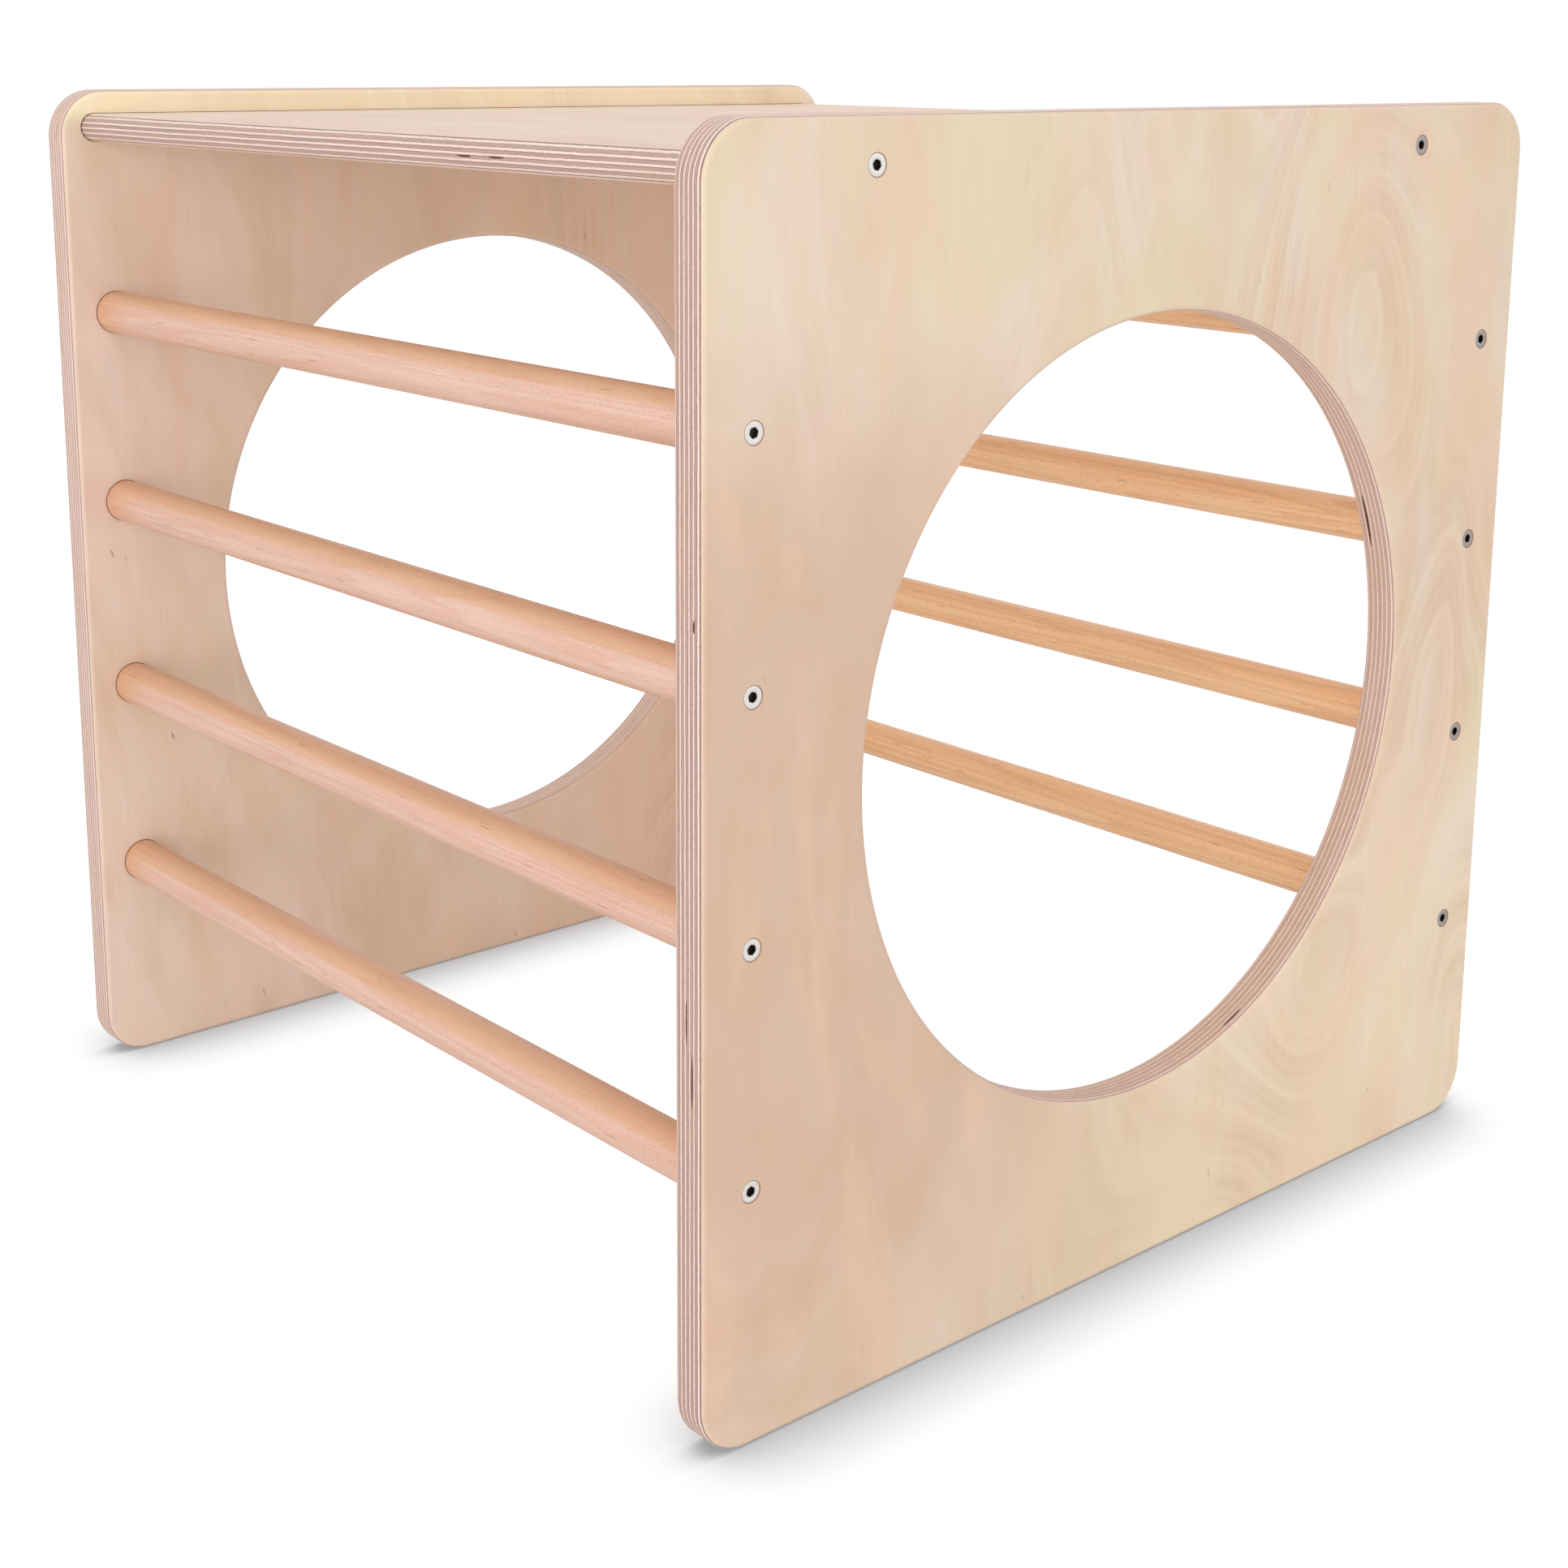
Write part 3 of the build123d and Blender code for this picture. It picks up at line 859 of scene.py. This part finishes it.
def plywood_material(name, veneer, plywood, thickness, plies, ragged, light_share, depth_of, place_of, figure_of,
                     gaps):
    """Plywood whose colour follows the depth under its faces, so that rounded edges cut through."""
    material, nodes, shader, coordinates = new_material(name)
    place = coordinates["Object"]
    ply = thickness / plies
    depth, side, sheet = depth_of(nodes, place)
    under_face = nodes.maths("MINIMUM", depth, nodes.maths("SUBTRACT", thickness, depth))
    pink, rosy, lined, curly, calm = figure_of(nodes, place, side)
    face = use_group(nodes, veneer, {
        "Place": place_of(nodes, place, sheet), "Pink": pink, "Rosy": rosy, "Lined": lined, "Curly": curly,
    })

    end_grain = nodes.maths("ABSOLUTE", nodes.split(coordinates["Normal"])[1])
    end_grain = nodes.maths("MULTIPLY", end_grain, nodes.maths("SUBTRACT", 1.0, calm))
    edge = use_group(nodes, plywood, {
        "Plies": nodes.maths("DIVIDE", depth, ply), "Layers": depth, "Place": place,
        "End Grain": end_grain, "Ragged": ragged, "Light Share": light_share,
    })

    # The cut edge of the face veneer, and the dark glue line under it
    tone = nodes.mix(nodes.step(under_face, ply * 0.2, ply * 0.5, 0.0, 0.6), face["Color"], FACE_PLY_EDGE)
    inside = nodes.step(under_face, ply * 0.86, ply * 0.98)
    tone = nodes.mix(inside, tone, edge["Color"])
    rough = nodes.noise(place, (420.0, 420.0, 420.0), detail=2.0)
    from_line = nodes.maths("ABSOLUTE", nodes.maths("SUBTRACT", under_face, ply * 0.93))
    line = nodes.step(nodes.maths("MULTIPLY_ADD", rough, ply * 0.14, from_line), ply * 0.34, ply * 0.14)
    line = nodes.maths("MULTIPLY", line, nodes.maths("MULTIPLY_ADD", end_grain, 0.45, 0.35))
    tone = nodes.mix(line, tone, PLY_GLUE)
    height = nodes.add(
        "ShaderNodeMix", {0: inside, 2: face["Height"], 3: edge["Height"]}, data_type="FLOAT"
    ).outputs[0]

    # Gaps that the cut has opened in inner plies
    across, along, up = nodes.split(place)
    turned = nodes.join(nodes.maths("MULTIPLY", across, side), nodes.maths("MULTIPLY", along, side), up)
    for centre, half_thickness, half_length in gaps:
        reach = nodes.vector("SUBTRACT", turned, centre)
        reach = nodes.vector("DIVIDE", reach, (half_thickness, half_length, half_length))
        distance = nodes.maths("ADD", nodes.maths("MULTIPLY", rough, 0.5), nodes.add(
            "ShaderNodeVectorMath", {0: reach}, operation="LENGTH").outputs[1])
        gap = nodes.step(distance, 1.25, 1.1)
        tone = nodes.mix(gap, tone, PLY_GAP)
        height = nodes.maths("SUBTRACT", height, nodes.maths("MULTIPLY", gap, 4.0))

    # Drilled and routed walls, in the sockets, slot and countersinks, are darkened: painted shade in the recesses
    drilled = nodes.add("ShaderNodeAttribute", attribute_name="drilled").outputs["Fac"]
    tone = nodes.mix(nodes.maths("MULTIPLY", drilled, 0.8), tone, PAINTED_RECESS_SHADE)
    finish_wood(nodes, shader, tone, height, roughness=0.44, bump_strength=0.22)
    return material


def panel_material(veneer, plywood):
    """Panels lie across X, with their grain upright. One is the other turned half round."""

    def depth_of(nodes, place):
        x = nodes.split(place)[0]
        depth = nodes.maths("SUBTRACT", nodes.maths("ABSOLUTE", x), INNER_FACE)
        side = nodes.maths("SIGN", x)
        outer = nodes.maths("GREATER_THAN", depth, PANEL_THICKNESS / 2)
        return depth, side, nodes.maths("MULTIPLY_ADD", outer, 7.3, nodes.maths("MULTIPLY", side, 3.7))

    def place_of(nodes, place, sheet):
        x, y, z = nodes.split(place)
        return nodes.join(y, z, sheet)

    def figure_of(nodes, place, side):
        """Cream at the top, pinker lower down and towards the front, with rings towards the back.
        The right panel's lower front is darker still, painted shade, and its low back paler, painted light;
        the left panel's inner strip above the board is paler, painted light.
        """
        x, y, z = nodes.split(place)
        left = nodes.maths("LESS_THAN", side, 0.0)
        # On the right panel Pink rises above 1 at the lower front: painted shade
        near_pink = nodes.maths("MULTIPLY", nodes.step(y, 0.02, -0.18), nodes.step(z, 0.5, 0.34, 0.0, 1.5))
        near_pink = nodes.maths("MULTIPLY", near_pink, nodes.step(z, 0.0, 0.14, 0.35, 1.0))
        # Less Pink at the low back, down below 0: painted light
        low_back_painted_light = nodes.maths("MULTIPLY", nodes.step(y, -0.08, 0.1), nodes.step(z, 0.32, 0.12, 0.0, 0.25))
        near_pink = nodes.maths("SUBTRACT", near_pink, low_back_painted_light)
        inner = nodes.maths("LESS_THAN", nodes.maths("ABSOLUTE", x), INNER_FACE + PANEL_THICKNESS / 2)
        # On the left panel's inner face above the board Pink is below 0: painted light
        left_pink = nodes.step(z, 0.548, 0.53, nodes.maths("MULTIPLY", inner, -0.85), 0.62)
        pink = nodes.add("ShaderNodeMix", {0: left, 2: near_pink, 3: left_pink}, data_type="FLOAT").outputs[0]
        lined = nodes.maths("MAXIMUM", nodes.step(y, -0.1, 0.12, 0.45, 1.0), nodes.step(z, 0.16, 0.05, 0.0, 0.8))
        left_rosy = nodes.step(y, -0.24, -0.08, 0.9, 0.45)
        rosy = nodes.add("ShaderNodeMix", {0: left, 2: 0.12, 3: left_rosy}, data_type="FLOAT").outputs[0]
        curly = nodes.maths("MULTIPLY", left, nodes.step(y, -0.2, -0.06, 0.8, 0.25))
        from_centre = nodes.join(0.0, y, nodes.maths("SUBTRACT", z, PANEL_HEIGHT / 2))
        from_centre = nodes.add("ShaderNodeVectorMath", {0: from_centre}, operation="LENGTH").outputs[1]
        calm = nodes.step(from_centre, CRAWL_HOLE_RADIUS + 0.008, CRAWL_HOLE_RADIUS + EDGE_ROUND, 0.0, 0.7)
        calm = nodes.maths("MAXIMUM", calm, nodes.maths("MULTIPLY", left, 0.6))
        return pink, rosy, lined, curly, calm

    return plywood_material(
        "panel_birch_plywood", veneer, plywood, PANEL_THICKNESS, PANEL_PLIES, PANEL_RAGGED, PANEL_LIGHT_SHARE,
        depth_of, place_of, figure_of, PANEL_GAPS
    )


def board_material(veneer, plywood):
    """The board lies flat, with its grain along the rungs."""

    def depth_of(nodes, place):
        depth = nodes.maths("SUBTRACT", nodes.split(place)[2], BOARD_UNDERSIDE)
        upper = nodes.maths("GREATER_THAN", depth, BOARD_THICKNESS / 2)
        return depth, 1.0, nodes.maths("MULTIPLY_ADD", upper, 7.3, 2.6)

    def place_of(nodes, place, sheet):
        x, y, z = nodes.split(place)
        return nodes.join(y, x, sheet)

    def figure_of(nodes, place, side):
        return nodes.step(nodes.split(place)[0], -0.25, -0.1, 0.5, 1.1), 0.5, 0.4, 0.3, 0.0

    return plywood_material(
        "board_birch_plywood", veneer, plywood, BOARD_THICKNESS, BOARD_PLIES, BOARD_RAGGED, BOARD_LIGHT_SHARE,
        depth_of, place_of, figure_of, BOARD_GAPS
    )


def rung_material(beech):
    """Beech that is pinker on the front ladder, and browner along its top and bottom, painted shade,
    and at its left end, painted warm bounce light from the panel. The back ladder's brighter,
    more orange beech is painted warm bounce light too.
    """
    material, nodes, shader, coordinates = new_material("rung_beech_wood")
    place = coordinates["Object"]
    x, y, z = nodes.split(place)
    # Pinker on the front ladder; the back ladder's brighter, more orange beech is painted warm bounce light
    rosy = nodes.step(y, 0.1, -0.1)
    # Browner where the rod faces up and where it faces down: painted shade, stronger on the front ladder
    facing = nodes.split(coordinates["Normal"])[2]
    band = nodes.maths("ADD", nodes.step(facing, 0.38, 0.66, 0.0, 0.8), nodes.step(facing, -0.5, -0.85, 0.0, 0.4))
    band = nodes.maths("MULTIPLY", band, nodes.maths("MULTIPLY_ADD", rosy, 0.7, 0.3))
    # Browner towards the left end, by the panel: painted warm bounce light
    end = nodes.step(x, -INNER_FACE + 0.045, -INNER_FACE + 0.005, 0.0, 0.8)
    wood = use_group(nodes, beech, {"Place": place, "Rosy": rosy, "Tan": nodes.maths("MAXIMUM", band, end)})

    # A thin dark line where a rung goes into its socket: painted shadow of the gap
    from_socket = nodes.maths("SUBTRACT", INNER_FACE, nodes.maths("ABSOLUTE", x))
    line = nodes.step(from_socket, JOINT_SHADOW_WIDTH, JOINT_SHADOW_WIDTH * 0.4, 0.0, 0.75)
    tone = nodes.mix(line, wood["Color"], PAINTED_RECESS_SHADE)
    finish_wood(nodes, shader, tone, wood["Height"], roughness=0.4, bump_strength=0.25)
    return material


def zinc_material():
    """Bright zinc plate, faintly brushed and clouded, greyer at the back, a painted duller reflection, and darker
    down in the socket, painted shade.
    """
    material, nodes, shader, coordinates = new_material("bright_zinc_plate")
    place = coordinates["Object"]
    cloud = nodes.noise(place, (260.0, 260.0, 260.0), detail=3.0)
    tone = nodes.mix(cloud, ZINC_DULL, ZINC_BRIGHT)
    # Greyer on the back screws: a painted duller reflection
    tone = nodes.mix(nodes.step(nodes.split(place)[1], 0.0, 0.15), tone, ZINC_GREY)
    socket = nodes.add("ShaderNodeAttribute", attribute_name="socket").outputs["Fac"]
    # Darker down in the hex socket: painted shade
    tone = nodes.mix(socket, tone, SOCKET_PAINTED_SHADE)
    scuff = nodes.noise(place, (900.0, 4200.0, 900.0), detail=2.0)
    gloss = nodes.step(scuff, 0.3, 0.7, 0.3, 0.42)
    nodes.tree.links.new(tone, shader.inputs["Base Color"])
    nodes.tree.links.new(gloss, shader.inputs["Roughness"])
    shader.inputs["Metallic"].default_value = 1.0
    return material


def floor_material():
    """A pale floor that the camera sees as white, apart from the soft shadow of what stands on it."""
    material, nodes, shader, coordinates = new_material("pale_floor")
    nodes.tree.nodes.remove(shader)
    output = nodes.tree.nodes["Material Output"]
    soft = nodes.noise(coordinates["Object"], (1.5, 1.5, 1.5), detail=2.0)
    pale = nodes.mix(soft, FLOOR_DULL, FLOOR_PALE)
    body = nodes.add("ShaderNodeBsdfDiffuse", {"Color": pale})
    faint = nodes.add("ShaderNodeBsdfDiffuse", {"Color": FLOOR_SHADED})
    open_share = nodes.add("ShaderNodeAmbientOcclusion", {"Distance": CONTACT_REACH}, samples=16).outputs["AO"]
    strength = nodes.step(open_share, 0.25, 1.0, FLOOR_GLOW - CONTACT_DARKNESS, FLOOR_GLOW)
    glow = nodes.add("ShaderNodeEmission", {"Color": (1.0, 1.0, 1.0, 1.0), "Strength": strength})
    seen = nodes.add("ShaderNodeAddShader", {0: faint.outputs[0], 1: glow.outputs[0]})
    rays = nodes.add("ShaderNodeLightPath").outputs
    mixed = nodes.add(
        "ShaderNodeMixShader", {0: rays["Is Camera Ray"], 1: body.outputs[0], 2: seen.outputs[0]}
    )
    nodes.tree.links.new(mixed.outputs[0], output.inputs["Surface"])
    return material


def give(material, names):
    """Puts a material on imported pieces, in their objects' own slots."""
    for name in names:
        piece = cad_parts[name]
        for slot in piece.material_slots:
            slot.link = "OBJECT"
            slot.material = material


def add_floor():
    half = FLOOR_WIDTH / 2
    mesh = bpy.data.meshes.new("floor")
    mesh.from_pydata([(-half, -half, 0), (half, -half, 0), (half, half, 0), (-half, half, 0)], [], [(0, 1, 2, 3)])
    mesh.materials.append(floor_material())
    floor = bpy.data.objects.new("floor", mesh)
    bpy.context.scene.collection.objects.link(floor)


def add_sky():
    """White for the camera and in gloss, and a plain soft light for the rest."""
    world = bpy.data.worlds.new("studio")
    world.use_nodes = True
    world.node_tree.nodes.clear()
    nodes = Nodes(world.node_tree)
    rays = nodes.add("ShaderNodeLightPath").outputs
    seen = nodes.maths("MAXIMUM", rays["Is Camera Ray"], rays["Is Glossy Ray"])
    seen = nodes.maths("MAXIMUM", seen, rays["Is Transmission Ray"])
    strength = nodes.maths("MULTIPLY_ADD", seen, 1.0 - SKY_STRENGTH, SKY_STRENGTH)
    tint = nodes.mix(seen, SKY_TINT, (1.0, 1.0, 1.0, 1.0))
    sky = nodes.add("ShaderNodeBackground", {"Color": tint, "Strength": strength})
    nodes.add("ShaderNodeOutputWorld", {"Surface": sky.outputs[0]})
    bpy.context.scene.world = world


def add_softbox(name, place, target, width, power, tint):
    light = bpy.data.lights.new(name, "AREA")
    light.shape = "SQUARE"
    light.size = width
    light.energy = power
    light.color = tint
    softbox = bpy.data.objects.new(name, light)
    softbox.location = place
    softbox.rotation_euler = (Vector(target) - Vector(place)).to_track_quat("-Z", "Y").to_euler()
    bpy.context.scene.collection.objects.link(softbox)


def add_camera():
    camera_data = bpy.data.cameras.new("camera")
    camera_data.sensor_width = CAMERA_SENSOR
    camera_data.lens = CAMERA_LENS
    camera_data.shift_y = CAMERA_SHIFT
    camera = bpy.data.objects.new("camera", camera_data)
    turn = Matrix.Rotation(radians(-CAMERA_YAW), 4, "Z")
    tip = Matrix.Rotation(radians(90 + CAMERA_PITCH), 4, "X")
    roll = Matrix.Rotation(radians(CAMERA_ROLL), 4, "Z")
    camera.matrix_world = Matrix.Translation(CAMERA_PLACE) @ turn @ tip @ roll
    bpy.context.scene.collection.objects.link(camera)
    bpy.context.scene.camera = camera


veneer = veneer_group()
plywood = ply_group()
panel_finish = panel_material(veneer, plywood)
for panel in make_side_panels():
    panel.data.materials.append(panel_finish)
give(board_material(veneer, plywood), ["top_board"])
give(rung_material(beech_group()), [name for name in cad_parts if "_rung_" in name and "screw" not in name])
make_screws(zinc_material())

add_floor()
add_sky()
add_softbox("overhead_softbox", (0.4, 0.3, 2.6), (0.0, 0.0, 0.3), 2.4, OVERHEAD_POWER, (1.0, 0.95, 0.87))
add_softbox("front_softbox", (1.3, -2.4, 0.45), (0.0, 0.0, 0.25), 2.2, FRONT_POWER, (1.0, 0.98, 0.98))
add_camera()
bpy.context.scene.view_settings.view_transform = "Standard"
